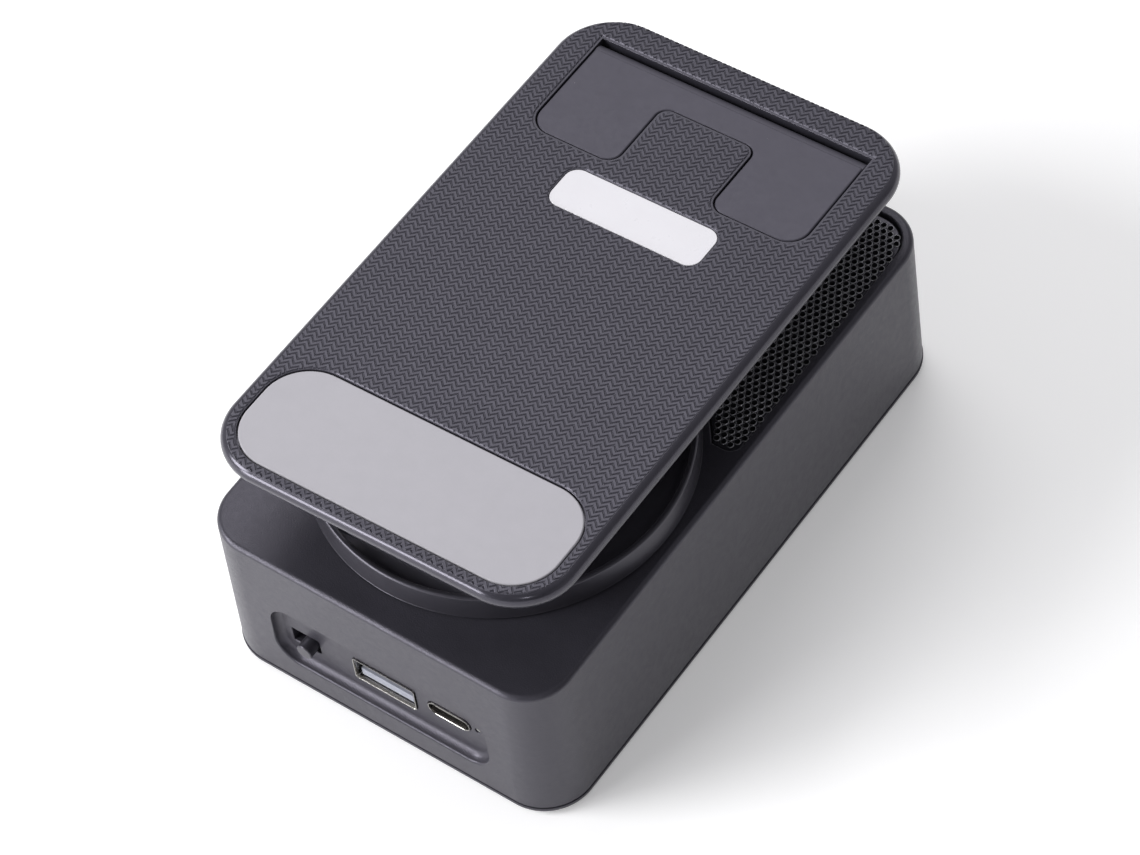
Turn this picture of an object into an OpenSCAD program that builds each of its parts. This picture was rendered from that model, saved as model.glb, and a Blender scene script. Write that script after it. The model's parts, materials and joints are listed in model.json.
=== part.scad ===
// Desktop speaker with a turntable and a folding phone cradle.
// Origin: centre of the resting face. +X across the port face, +Y away from it, +Z up.

/* [Box] */
// Width of the box at its foot, across the port face
box_w = 74; // [73:0.1:75]
// Length of the box at its foot, from the port face to the far end
box_l = 121.2; // [120:0.1:122]
// Lean of the side walls: how far each is inset at the top
draft = 0.7; // [0.3:0.1:0.8]
// Height of the box's top face above the table
box_h = 36; // [36:0.5:37]
// Radius of the box's upright corners
box_r = 9.5; // [8.5:0.5:10.5]
// Wall thickness of the housing
wall = 2.2; // [2:0.1:2.4]
// Thickness of the housing's top
top_t = 2.4; // [2.2:0.1:2.6]
// Height of the joint between housing and bottom cover
seam_z = 2; // [1.9:0.1:2.2]

/* [Ports] */
// Width of the recess around the ports
recess_w = 46.3; // [45:0.1:48]
// Height of the recess around the ports
recess_h = 15.4; // [15:0.1:16.4]
// Depth of the recess around the ports
recess_d = 1.8; // [1.4:0.1:2]
// Height of the recess's centre line
recess_z = 15.1; // [14.8:0.1:15.4]
// Height of the underside of the circuit board
board_z = 17; // [16.8:0.1:17.2]
// Place of the slide switch across the face
switch_x = -17.2; // [-17.4:0.1:-16.6]
// Place of the small socket across the face
usb_c_x = 13.9; // [13.5:0.1:14.2]
// Travel of the slide switch
switch_travel = 2.2; // [2:0.1:2.4]

/* [Speaker] */
// Place of the driver's axis along the box
driver_y = 36.5; // [36:0.1:37]
// Width of the driver's square flange
driver_w = 40; // [39:0.5:40]
// Distance from the grille to the long walls
grille_edge = 2.1; // [2:0.05:2.6]

/* [Turntable] */
// Place of the turntable's axis along the box
table_y = -19.6; // [-20:0.1:-19.2]
// Radius of the turntable at its foot
table_r = 34.3; // [34:0.1:34.8]
// Height of the turntable's rim above the box
table_h = 5.4; // [5.2:0.1:5.6]
// Angle that the turntable is left at
table_turn = 1.7; // [0:0.1:3]

/* [Arm] */
// Distance of each hinge axis from the turntable's axis
hinge_reach = 24; // [23.5:0.1:24.2]
// Height of both hinge axes with the arm folded
hinge_z = 44; // [43.6:0.1:44.4]
// Width of the arm between the hinge lugs
arm_w = 23; // [22:0.5:23]
// Thickness of the arm
arm_t = 4; // [3.8:0.1:4]
// Radius of the hinge pins
pin_r = 2; // [1.8:0.1:2]

/* [Cradle] */
// Width of the cradle plate
cradle_w = 69.6; // [69.4:0.1:71]
// Length of the cradle plate
cradle_l = 121.2; // [121:0.1:122]
// Radius of the cradle plate's corners
cradle_r = 11.6; // [11:0.1:12.5]
// Thickness of the cradle plate
cradle_t = 4.5; // [4.4:0.1:4.6]
// Centre of the cradle plate, measured along the box from the turntable's axis
cradle_y = 22.7; // [22.5:0.1:23]
// Height of the centre of the cradle's face
cradle_z = 55.1; // [54.8:0.1:55.4]
// Angle that the cradle leans towards the far end
cradle_lean = 4.6; // [4:0.1:5]
// Width of the grip pad
pad_w = 63.2; // [62:0.1:63.6]
// Length of the grip pad
pad_l = 22.5; // [21:0.1:23]
// Centre of the grip pad along the cradle
pad_y = -46.8; // [-47:0.1:-46.4]
// Centre of the label plate along the cradle
label_y = 20.6; // [20:0.1:21]

/* [Phone rest] */
// Half width of the folding phone rest
rest_x = 28; // [27:0.1:28]
// End of the phone rest's legs along the cradle
rest_y0 = 29.3; // [29:0.1:30]
// Far wall of the phone rest's slot along the cradle
rest_y1 = 53.6; // [53.4:0.1:54]
// Half width of the cable notch
notch_x = 9.8; // [9:0.1:10.5]
// Closed end of the cable notch along the cradle
notch_y = 45.3; // [44.5:0.1:45.5]

/* [Hidden] */

$fn = 64;
tiny = 0.01;
slide_gap = 0.05;

// Levels in the box
mat_t = 1;
cover_z = 0.6;
cover_floor = 2.6;
lip_z = 3.4;
roof_z = box_h - top_t;
face_y = -box_l / 2 + draft * (recess_z - seam_z) / (box_h - seam_z);
floor_y = face_y + recess_d;
pad_in_y = floor_y + recess_d;
top_w = box_w - 2 * draft;
top_l = box_l - 2 * draft;
in_w = top_w - 2 * wall;
in_l = top_l - 2 * wall;
in_r = box_r - wall;
mat_w = 65;
mat_l = 113;
boss_x = 29;
boss_y = 52.8;
post_x = 21.5;
post_ys = [-46, -31];
board_t = 1.6;
usb_a_w = 13.1;
usb_a_h = 5.7;
usb_a_z = board_z - usb_a_h / 2;
usb_c_w = 8.94;
usb_c_h = 3.2;
usb_c_z = board_z - usb_c_h / 2;
switch_z = board_z - 3.4;
light_x = 19.9;
light_z = 15.6;
cell_r = 9.1;
cell_l = 65;
cell_y = -6;
cell_z = lip_z + 0.1 + cell_r;

// Levels at the grille and the driver
grille_x = top_w / 2 - grille_edge;
grille_y0 = 0.8;
grille_y1 = top_l / 2 - grille_edge;
grille_far_r = 6.4;
grille_near_r = 2.5;
table_moat = 1.4;
pocket_z = box_h - 1.6;
cloth_t = 0.2;
grille_t = 0.8;
baffle_z = pocket_z - 1.6;
driver_hole_r = 17.6;
flange_t = 1.2;
flange_z = baffle_z - flange_t;
basket_z = flange_z - 6.6;
screw_at = driver_w / 2 - 3.5;

// Levels at the turntable
hub_r = 9;
disc_z = box_h + 0.4;
disc_floor = disc_z + 2.2;
rim_z = box_h + table_h;
plate_z = roof_z - 1;
plate_t = 1.2;
rim_in_r = table_r - 2.3;

// Hinge lugs, washers and pins
lug_x = arm_w / 2 + 0.7;
lug_t = 2;
lug_r = 3.2;
knuckle_r = 3;
bracket_t = 1.2;
pin_gap = 0.05;
pin_head_t = 1.2;
nut_t = 2;
nut_r = 3.2;

// The upper hinge's axis, measured on the leaning cradle
hinge_dy = hinge_reach - cradle_y;
hinge_dz = hinge_z - cradle_z;
hinge_ly = hinge_dy * cos(cradle_lean) - hinge_dz * sin(cradle_lean);
hinge_lz = hinge_dy * sin(cradle_lean) + hinge_dz * cos(cradle_lean);
bracket_lz = -cradle_t - bracket_t;

// The cradle's two shells and the phone rest
split_z = -2.3;
rest_top = -0.15;
rest_t = 1.85;
rest_gap = 0.15;
barrel_r = 2.1;
rest_pin_r = 0.75;
barrel_y = rest_y1 - 2.4;
leg_r = 4.5;
notch_r = 2.4;
pad_deep = 1.2;
label_w = 31;
label_l = 9.4;
label_r = 2.6;
pad_r = 8.8;
label_deep = 0.4;
shell_screws = [[-30.5, -29], [30.5, -29], [-30.5, 22], [30.5, 22]];

// ---- Shared shapes ----

// Flat rectangle with round corners, centred
module round_rect(w, l, r) {
    square([w - 2 * r, l], center = true);
    square([w, l - 2 * r], center = true);
    for (x = [-1, 1], y = [-1, 1])
        translate([x * (w / 2 - r), y * (l / 2 - r)]) circle(r);
}

// Plate with round corners, standing on z
module slab(w, l, r, z, h) {
    translate([0, 0, z]) linear_extrude(h) round_rect(w, l, r);
}

// Plate whose upper edge is eased by e and whose sides lean in by d
module eased_up(w, l, r, z0, z1, e, d = 0) {
    h = z1 - z0;
    hull($fn = 32) {
        slab(w, l, r, z0, min(h - e, 0.1), $fn = 32);
        slab(w - 2 * d, l - 2 * d, r, z0, h - e, $fn = 32);
        slab(w - 2 * d - 0.6 * e, l - 2 * d - 0.6 * e, r - 0.3 * e, z0, h - 0.3 * e, $fn = 32);
        slab(w - 2 * d - 2 * e, l - 2 * d - 2 * e, r - e, z0, h, $fn = 32);
    }
}

// Plate whose lower edge is eased by e
module eased_down(w, l, r, z0, z1, e) {
    translate([0, 0, z0 + z1]) mirror([0, 0, 1]) eased_up(w, l, r, z0, z1, e);
}

module tube(r_out, r_in, z, h) {
    translate([0, 0, z]) difference() {
        cylinder(r = r_out, h = h);
        translate([0, 0, -1]) cylinder(r = r_in, h = h + 2);
    }
}

// Cylinder along X from x0 to x1
module bar_x(r, x0, x1) {
    translate([x0, 0, 0]) rotate([0, 90, 0]) cylinder(r = r, h = x1 - x0);
}

// Cylinder along Y from y0 to y1
module bar_y(r, y0, y1) {
    translate([0, y0, 0]) rotate([-90, 0, 0]) cylinder(r = r, h = y1 - y0);
}

// Screw pointing up, with its head's underside at z = 0
module screw(head_r, head_t, shank_r, length) {
    difference() {
        translate([0, 0, -head_t]) cylinder(r = head_r, h = head_t, $fn = 32);
        translate([-head_r, -0.2, -head_t - tiny]) cube([2 * head_r, 0.4, head_t * 0.5]);
    }
    translate([0, 0, -tiny]) cylinder(r = shank_r, h = length + tiny, $fn = 32);
}

module at_corners(x, y) {
    for (sx = [-1, 1], sy = [-1, 1]) translate([sx * x, sy * y, 0]) children();
}

// Wire with round bends through the given points
module wire(points, r) {
    for (i = [0 : len(points) - 2]) {
        step = points[i + 1] - points[i];
        length = norm(step);
        translate(points[i])
            rotate([0, acos(step[2] / length), atan2(step[1], step[0])])
                cylinder(r = r, h = length);
    }
    if (len(points) > 2)
        for (i = [1 : len(points) - 2]) translate(points[i]) sphere(1.1 * r);
}

// Frames of the moving groups
module on_driver() {
    translate([0, driver_y, 0]) children();
}

module on_table() {
    translate([0, table_y, 0]) rotate([0, 0, table_turn]) children();
}

module on_hinge(side) {
    on_table() translate([0, side * hinge_reach, hinge_z]) children();
}

module on_cradle() {
    on_table() translate([0, cradle_y, cradle_z]) rotate([-cradle_lean, 0, 0]) children();
}

// ---- Box ----

module recess_2d(grow) {
    round_rect(recess_w + grow, recess_h + grow, 5 + grow / 2);
}

// Puts a flat shape on the port face, with its thickness towards +Y from y
module on_face(x, z, y, depth) {
    translate([x, y + depth, z]) rotate([90, 0, 0]) linear_extrude(depth) children();
}

module grille_2d(gap) {
    w = 2 * (grille_x - gap);
    y0 = grille_y0 + gap;
    y1 = grille_y1 - gap;
    mid = (y0 + y1) / 2;
    difference() {
        union() {
            translate([0, mid]) round_rect(w, y1 - y0, grille_far_r);
            translate([0, (y0 + mid) / 2]) round_rect(w, mid - y0, grille_near_r);
        }
        translate([0, table_y]) circle(table_r + table_moat + gap, $fn = 128);
    }
}

module housing_shell() {
    color("#2b2b2e") difference() {
        union() {
            difference() {
                eased_up(box_w, box_l, box_r, seam_z, box_h, 1.2, draft);
                slab(in_w, in_l, in_r, seam_z - 1, roof_z - seam_z + 1);
            }
            // Thicker wall behind the port recess
            translate([-recess_w / 2 - 1.5, -in_l / 2 - tiny, recess_z - 9.4])
                cube([recess_w + 3, pad_in_y + in_l / 2, 18.8]);
            // Baffle under the grille
            translate([0, driver_y, baffle_z])
                linear_extrude(roof_z - baffle_z + tiny) square([62, driver_w + 1.6], center = true);
            // Screw bosses for the bottom cover
            at_corners(boss_x, boss_y) translate([0, 0, lip_z + 0.2]) cylinder(r = 3.2, h = roof_z - lip_z);
            // Posts that carry the circuit board
            for (sx = [-1, 1], y = post_ys)
                translate([sx * post_x, y, board_z + board_t]) cylinder(r = 2.4, h = roof_z - board_z - board_t + tiny);
        }
        // Port recess with leaning walls
        hull($fn = 32) {
            on_face(0, recess_z, face_y - 1, 1.2) recess_2d(0.6);
            on_face(0, recess_z, floor_y - 0.6, 0.6) recess_2d(-1.8);
        }
        on_face(0, usb_a_z, face_y, 6) round_rect(usb_a_w + 0.8, usb_a_h + 0.8, 0.5);
        on_face(usb_c_x, usb_c_z, face_y, 6) round_rect(usb_c_w + 0.6, usb_c_h + 0.6, usb_c_h / 2 + 0.29);
        on_face(switch_x, switch_z, face_y, 6) round_rect(6, 3.8, 0.3);
        translate([light_x, 0, light_z]) bar_y(0.6, face_y, pad_in_y + 1);
        // Grille pocket, driver opening and its screw holes
        translate([0, 0, pocket_z]) linear_extrude(3) grille_2d(0);
        on_driver() translate([0, 0, baffle_z - 1]) cylinder(r = driver_hole_r, h = 5);
        on_driver() at_corners(screw_at, screw_at) translate([0, 0, baffle_z - 1]) cylinder(r = 0.8, h = 2.3);
        // Turntable bearing
        translate([0, table_y, roof_z - 1]) cylinder(r = hub_r + pin_gap, h = top_t + 2);
        // Screw holes
        at_corners(boss_x, boss_y) translate([0, 0, lip_z - 1]) cylinder(r = 1, h = 12);
        for (sx = [-1, 1], y = post_ys)
            translate([sx * post_x, y, board_z]) cylinder(r = 0.8, h = board_t + 6);
    }
}

module bottom_cover() {
    color("#28282b") difference() {
        union() {
            eased_down(box_w, box_l, box_r, cover_z, seam_z, 0.9);
            difference() {
                slab(in_w - 0.2, in_l - 0.2, in_r - 0.1, seam_z - tiny, lip_z - seam_z);
                slab(in_w - 3.4, in_l - 3.4, in_r - 1.7, cover_floor, 2);
            }
            // Saddles under the battery
            for (x = [-20, 20]) translate([x - 1.5, cell_y - 8, cover_floor - tiny]) cube([3, 16, 4.4]);
            at_corners(boss_x, boss_y) translate([0, 0, cover_floor - 0.5]) cylinder(r = 3.2, h = 1.3);
        }
        translate([0, 0, cover_z - 1]) slab(mat_w + 0.2, mat_l + 0.2, 5.1, 0, mat_t + 0.4);
        translate([0, cell_y, cell_z]) bar_x(cell_r + slide_gap, -25, 25);
        at_corners(boss_x, boss_y) {
            cylinder(r = 1.3, h = 6);
            cylinder(r = 2.6, h = 1.8);
        }
    }
}

module bottom_screws() {
    color("silver") at_corners(boss_x, boss_y) translate([0, 0, 1.8]) screw(2.4, 0.75, 0.95, 11);
}

module base_mat() {
    color("#1c1c1e") slab(mat_w, mat_l, 5, 0, mat_t);
}

// ---- Grille and driver ----

module speaker_grille() {
    pitch = 3;
    color("#151517") difference() {
        translate([0, 0, pocket_z + cloth_t]) linear_extrude(grille_t) grille_2d(0.15);
        on_driver() for (i = [-6 : 6], j = [-5 : 5]) {
            x = pitch * (i + (j % 2 == 0 ? 0 : 0.5));
            y = pitch * j * sqrt(3) / 2;
            if (norm([x, y]) < driver_hole_r - 1) translate([x, y, pocket_z]) cylinder(r = 0.8, h = 2, $fn = 16);
        }
    }
}

module grille_cloth() {
    color("#0c0c0e") translate([0, 0, pocket_z]) linear_extrude(cloth_t) grille_2d(0.3);
}

module speaker_frame() {
    color("#3a3b3f") on_driver() difference() {
        union() {
            slab(driver_w, driver_w, 5, flange_z, flange_t);
            tube(18.2, 17.3, basket_z, flange_z - basket_z + tiny);
            tube(18.2, 6, basket_z, 0.9);
        }
        translate([0, 0, flange_z - 1]) cylinder(r = 17.3, h = 4);
        at_corners(screw_at, screw_at) translate([0, 0, flange_z - 1]) cylinder(r = 1, h = 4);
        // Vents round the basket's floor
        for (a = [0 : 60 : 300]) rotate([0, 0, a]) translate([14.3, 0, basket_z - 1]) cylinder(r = 1.8, h = 3);
    }
}

module speaker_surround() {
    color("#161616") on_driver() translate([0, 0, flange_z]) rotate_extrude() difference() {
        translate([15.6, 0]) circle(1.6, $fn = 32);
        translate([15.6, 0]) circle(1.2, $fn = 32);
        translate([12, -3]) square([8, 3]);
    }
}

module speaker_cone() {
    color("#202022") on_driver() translate([0, 0, flange_z]) rotate_extrude()
        polygon([[14, 0.1], [14, 0.5], [5.2, -3.1], [5.2, -3.5]]);
}

module dust_cap() {
    color("#2c2c2e") on_driver() translate([0, 0, flange_z - 3.3]) intersection() {
        translate([0, 0, -3.4]) sphere(6.1);
        translate([0, 0, 0.1]) cylinder(r = 5, h = 4);
    }
}

module voice_coil() {
    color("#b5652b") on_driver() tube(5.05, 4.65, basket_z - 3.4, flange_z - 3.6 - basket_z + 3.4);
}

module magnet_top_plate() {
    color("silver") on_driver() tube(11.5, 5.5, basket_z - 1.5, 1.5);
}

module ring_magnet() {
    color("#303034") on_driver() tube(12.5, 6.5, basket_z - 6, 4.5);
}

module pole_yoke() {
    color("silver") on_driver() {
        translate([0, 0, basket_z - 7.5]) cylinder(r = 11.5, h = 1.5);
        translate([0, 0, basket_z - 6 - tiny]) cylinder(r = 4.3, h = 6);
    }
}

module speaker_screws() {
    color("silver") on_driver() at_corners(screw_at, screw_at) translate([0, 0, flange_z]) screw(1.7, 0.9, 0.75, 2.4);
}

// ---- Electronics ----

module battery_cell() {
    color("#2f6fb0") translate([0, cell_y, cell_z]) {
        bar_x(cell_r, -cell_l / 2, cell_l / 2 - 1);
        bar_x(3, cell_l / 2 - 1 - tiny, cell_l / 2);
    }
}

module main_board() {
    color("#1f5d38") difference() {
        translate([-25, pad_in_y + 0.5, board_z]) cube([50, 28, board_t]);
        for (sx = [-1, 1], y = post_ys) translate([sx * post_x, y, board_z - 1]) cylinder(r = 0.9, h = 4);
    }
}

module board_screws() {
    color("silver") for (sx = [-1, 1], y = post_ys) translate([sx * post_x, y, board_z]) screw(1.7, 1, 0.75, 7);
}

module chip(x, y, w, l, h) {
    translate([x - w / 2, y - l / 2, board_z - h]) cube([w, l, h]);
}

module radio_module() {
    color("#8b8f94") chip(1, -37, 15, 12, 2.2);
}

module amplifier_chip() {
    color("#222226") chip(-14, -38, 6, 6, 1.5);
}

module charger_chip() {
    color("#26262a") chip(15, -38, 5, 6, 1.6);
}

// Sheet-metal socket shell with its mouth at the recess floor
module socket_shell(x, z, w, h, r, t, length) {
    difference() {
        on_face(x, z, floor_y - 0.3, length) round_rect(w, h, r);
        on_face(x, z, floor_y - 1, length + 0.4) round_rect(w - 2 * t, h - 2 * t, r - t);
    }
}

module usb_a_shell() {
    color("#c9c7c0") socket_shell(0, usb_a_z, usb_a_w, usb_a_h, 0.5, 0.3, 12);
}

module usb_a_tongue() {
    color("#aab4cf") {
        on_face(0, usb_a_z - 1.15, floor_y + 0.5, 10.7) square([11.1, 1.9], center = true);
        on_face(0, usb_a_z, floor_y + 8.8, 2.4) square([12.4, 5], center = true);
    }
}

module usb_c_shell() {
    color("#c9c7c0") socket_shell(usb_c_x, usb_c_z, usb_c_w, usb_c_h, usb_c_h / 2 - 0.01, 0.25, 7.4);
}

module usb_c_tongue() {
    color("#1d1d20") {
        on_face(usb_c_x, usb_c_z, floor_y + 0.4, 6.3) square([6.7, 0.7], center = true);
        on_face(usb_c_x, usb_c_z, floor_y + 5.4, 1.2) round_rect(usb_c_w - 0.6, usb_c_h - 0.6, 1.2);
    }
}

module switch_body() {
    color("#3c3c40") difference() {
        translate([switch_x - 4.7, pad_in_y + 0.2, board_z - 5.8]) cube([9.4, 6, 5.8]);
        translate([switch_x - 4.3, pad_in_y, switch_z - 1.9]) cube([8.6, 2.4, 3.8]);
    }
}

module switch_knob() {
    color("#232326") translate([switch_x + switch_travel / 2, 0, switch_z]) {
        translate([-2.7, pad_in_y + 0.5, -1.7]) cube([5.4, 1.6, 3.4]);
        bar_y(1.55, floor_y - 2.3, pad_in_y + 0.6);
    }
}

module status_light() {
    color("#d8d8d0") translate([light_x, 0, light_z]) {
        bar_y(0.55, floor_y + 0.3, pad_in_y + 0.8);
        translate([-1, pad_in_y + 0.8 - tiny, -1]) cube([2, 2, 2]);
    }
}

module battery_lead() {
    color("firebrick") wire([[-24, cell_y - 9.8, 12.6], [-15, -29, 16.3]], 0.6);
}

module speaker_lead() {
    color("firebrick") wire([[13, 16.5, 26.5], [16, 5, 24], [16, -15, 23.5], [12, -28, 19.6]], 0.6);
}

// ---- Turntable ----

module thrust_washer() {
    color("#d9d5c7") translate([0, table_y, 0]) tube(22, 10, box_h, disc_z - box_h - slide_gap);
}

module turntable_disc() {
    color("#303034") on_table() difference() {
        rotate_extrude($fn = 128) polygon([
            [0, plate_z], [hub_r, plate_z], [hub_r, disc_z], [table_r, disc_z],
            [table_r - 0.4, rim_z - 0.4], [table_r - 0.8, rim_z], [table_r - 1.9, rim_z],
            [rim_in_r, rim_z - 0.7], [rim_in_r, disc_floor], [0, disc_floor]]);
        for (a = [0 : 120 : 240]) rotate([0, 0, a]) translate([6, 0, plate_z - 1]) cylinder(r = 0.95, h = 4.6);
        for (sx = [-1, 1], y = [-26, -20]) translate([sx * 7, y, disc_z + 0.2]) cylinder(r = 0.85, h = 4);
    }
}

module wave_washer() {
    color("silver") on_table() tube(12.5, hub_r + 0.4, plate_z + slide_gap, 1 - 2 * slide_gap);
}

module retaining_plate() {
    color("silver") on_table() difference() {
        translate([0, 0, plate_z - plate_t]) cylinder(r = 13, h = plate_t);
        for (a = [0 : 120 : 240]) rotate([0, 0, a]) translate([6, 0, plate_z - 3]) cylinder(r = 1.05, h = 5);
    }
}

module retaining_screws() {
    color("silver") on_table() for (a = [0 : 120 : 240])
        rotate([0, 0, a]) translate([6, 0, plate_z - plate_t]) screw(1.8, 1.1, 0.9, 4.4);
}

// ---- Hinges ----

// Two lugs around a hinge axis, joined to a base whose near face lies at base_z
module lugs(base_z) {
    for (sx = [-1, 1]) translate([sx * (lug_x + lug_t / 2), 0, 0]) {
        bar_x(lug_r, -lug_t / 2, lug_t / 2);
        translate([-lug_t / 2, -lug_r, min(base_z, 0)]) cube([lug_t, 2 * lug_r, abs(base_z)]);
    }
}

module hinge_pin() {
    bar_x(pin_r, -lug_x - lug_t - nut_t, lug_x + lug_t + tiny);
    bar_x(3, lug_x + lug_t, lug_x + lug_t + pin_head_t);
}

module hinge_nut() {
    difference() {
        bar_x(nut_r, -lug_x - lug_t - nut_t + 0.3, -lug_x - lug_t, $fn = 6);
        bar_x(pin_r + 0.02, -30, 0);
    }
}

module friction_washers() {
    for (sx = [-1, 1]) translate([sx * (arm_w / 2 + 0.35), 0, 0]) difference() {
        bar_x(knuckle_r, -0.3, 0.3);
        bar_x(pin_r + 0.1, -1, 1);
    }
}

module lower_bracket() {
    base = disc_floor - hinge_z;
    color("#8f9297") on_hinge(-1) difference() {
        union() {
            lugs(base);
            translate([0, 1.5, base]) linear_extrude(bracket_t) round_rect(2 * (lug_x + lug_t), 11, 1);
        }
        bar_x(pin_r + 0.03, -20, 20);
        for (sx = [-1, 1], y = [-2, 4]) translate([sx * 7, y, base - 1]) {
            cylinder(r = 1, h = 4);
            translate([0, 0, 1.5]) cylinder(r = 1.7, h = 2);
        }
    }
}

module lower_bracket_screws() {
    color("silver") on_hinge(-1) for (sx = [-1, 1], y = [-2, 4])
        translate([sx * 7, y, disc_floor - hinge_z + 0.5]) mirror([0, 0, 1]) screw(1.6, 0.6, 0.8, 2.3);
}

module lower_hinge_pin() {
    color("silver") on_hinge(-1) hinge_pin();
}

module lower_hinge_nut() {
    color("silver") on_hinge(-1) hinge_nut();
}

module lower_friction_washers() {
    color("#e4e0d2") on_hinge(-1) friction_washers();
}

module arm_frame() {
    color("#2d2d30") on_table() translate([0, 0, hinge_z]) difference() {
        union() {
            slab(29, 36, 4, -arm_t / 2, arm_t);
            slab(arm_w, 2 * hinge_reach, tiny, -arm_t / 2, arm_t);
            for (side = [-1, 1]) translate([0, side * hinge_reach, 0]) bar_x(knuckle_r, -arm_w / 2, arm_w / 2);
        }
        for (side = [-1, 1]) translate([0, side * hinge_reach, 0]) bar_x(pin_r + pin_gap, -20, 20);
        slab(25.2, 33.2, 3.1, arm_t / 2 - 1, 2);
        slab(19, 28, 2, -0.4, 3);
        for (y = [-10, 10]) translate([0, y, -arm_t / 2 - 1]) {
            cylinder(r = 0.9, h = 4);
            cylinder(r = 1.8, h = 1.8);
        }
    }
}

module arm_cover() {
    color("#252528") on_table() translate([0, 0, hinge_z]) difference() {
        union() {
            slab(25, 33, 3, arm_t / 2 - 1, 1);
            for (y = [-10, 10]) translate([0, y, -0.4]) cylinder(r = 2.2, h = arm_t / 2 - 0.5);
        }
        for (y = [-10, 10]) translate([0, y, -1]) cylinder(r = 0.8, h = 2.6);
    }
}

module arm_screws() {
    color("silver") on_table() for (y = [-10, 10]) translate([0, y, hinge_z - arm_t / 2 + 0.8]) screw(1.6, 0.7, 0.75, 2.6);
}

module upper_hinge_pin() {
    color("silver") on_hinge(1) hinge_pin();
}

module upper_hinge_nut() {
    color("silver") on_hinge(1) hinge_nut();
}

module upper_friction_washers() {
    color("#e4e0d2") on_hinge(1) friction_washers();
}

// ---- Cradle ----

module upper_bracket() {
    base = -cradle_t - hinge_lz;
    color("#8f9297") on_cradle() difference() {
        union() {
            translate([0, hinge_ly, hinge_lz]) lugs(base);
            translate([0, hinge_ly, bracket_lz]) linear_extrude(bracket_t) round_rect(2 * (lug_x + lug_t), 20, 2);
        }
        translate([0, hinge_ly, hinge_lz]) bar_x(pin_r + pin_gap, -20, 20);
        translate([0, hinge_ly, 0]) at_corners(7, 7) translate([0, 0, bracket_lz - 1]) {
            cylinder(r = 1, h = 4);
            cylinder(r = 1.7, h = 1.7);
        }
    }
}

module upper_bracket_screws() {
    color("silver") on_cradle() translate([0, hinge_ly, bracket_lz + 0.7]) at_corners(7, 7) screw(1.6, 0.6, 0.8, 2.2);
}

module rest_2d(gap) {
    leg_w = rest_x - notch_x + 2 * gap;
    leg_l = rest_y1 - rest_y0 + gap;
    r = leg_r + gap;
    for (sx = [-1, 1]) translate([sx * (rest_x + notch_x) / 2, 0]) intersection() {
        translate([0, rest_y0 - gap + (leg_l + r) / 2]) round_rect(leg_w, leg_l + r, r);
        translate([-leg_w, rest_y0 - 1]) square([2 * leg_w, rest_y1 - rest_y0 + 1]);
    }
    translate([-notch_x - 1, notch_y - gap]) square([2 * notch_x + 2, rest_y1 - notch_y + gap]);
    // Round inner corners of the notch
    c = notch_r - gap;
    for (sx = [-1, 1]) difference() {
        translate([sx * (notch_x - gap - c / 2), notch_y - gap - c / 2]) square(c + 2 * tiny, center = true);
        translate([sx * (notch_x - gap - c), notch_y - gap - c]) circle(c);
    }
}

module cradle_back() {
    color("#29292c") on_cradle() difference() {
        eased_down(cradle_w, cradle_l, cradle_r, -cradle_t, split_z, 0.8);
        // Slot for the phone rest's barrel and seats for its pin
        translate([-rest_x - rest_gap, barrel_y - 2.4, -cradle_t - 1]) cube([2 * (rest_x + rest_gap), 4.8, 4]);
        translate([0, barrel_y, split_z]) bar_x(rest_pin_r + 0.03, -rest_x - 3.6, rest_x + 3.6);
        translate([0, hinge_ly, -cradle_t - 1]) at_corners(7, 7) cylinder(r = 0.85, h = 2.8);
        for (p = shell_screws) translate([p[0], p[1], -cradle_t - 1]) {
            cylinder(r = 0.9, h = 5);
            cylinder(r = 1.8, h = 2);
        }
    }
}

module cradle_front() {
    color("#2e2e31") on_cradle() difference() {
        eased_up(cradle_w, cradle_l, cradle_r, split_z, 0, 1);
        translate([0, 0, split_z - 1]) linear_extrude(5) rest_2d(rest_gap);
        translate([0, barrel_y, split_z]) bar_x(rest_pin_r + 0.03, -rest_x - 3.6, rest_x + 3.6);
        translate([0, pad_y, 0]) slab(pad_w + 0.3, pad_l + 0.3, pad_r + 0.15, -pad_deep, 3);
        translate([0, label_y, 0]) slab(label_w + 0.2, label_l + 0.2, label_r + 0.1, -label_deep, 3);
        for (p = shell_screws) translate([p[0], p[1], split_z - 1]) cylinder(r = 0.75, h = 2.6);
    }
}

module cradle_screws() {
    color("silver") on_cradle() for (p = shell_screws) translate([p[0], p[1], -cradle_t + 1]) screw(1.6, 0.9, 0.7, 2.6);
}

module grip_pad() {
    color("#8d8b8a") on_cradle() translate([0, pad_y, 0]) slab(pad_w, pad_l, pad_r, -pad_deep, pad_deep + 0.1);
}

module label_plate() {
    color("white") on_cradle() translate([0, label_y, 0]) slab(label_w, label_l, label_r, -label_deep, label_deep);
}

module phone_rest() {
    color("#333337") on_cradle() difference() {
        union() {
            intersection() {
                translate([0, 0, rest_top - rest_t]) linear_extrude(rest_t) rest_2d(0);
                translate([-40, 0, -5]) cube([80, barrel_y, 10]);
            }
            translate([0, barrel_y, split_z]) bar_x(barrel_r, -rest_x, rest_x);
        }
        translate([0, barrel_y, split_z]) bar_x(rest_pin_r + 0.07, -40, 40);
    }
}

module phone_rest_pin() {
    color("silver") on_cradle() translate([0, barrel_y, split_z]) bar_x(rest_pin_r, -rest_x - 3.5, rest_x + 3.5);
}

// ---- Assembly ----

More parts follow.
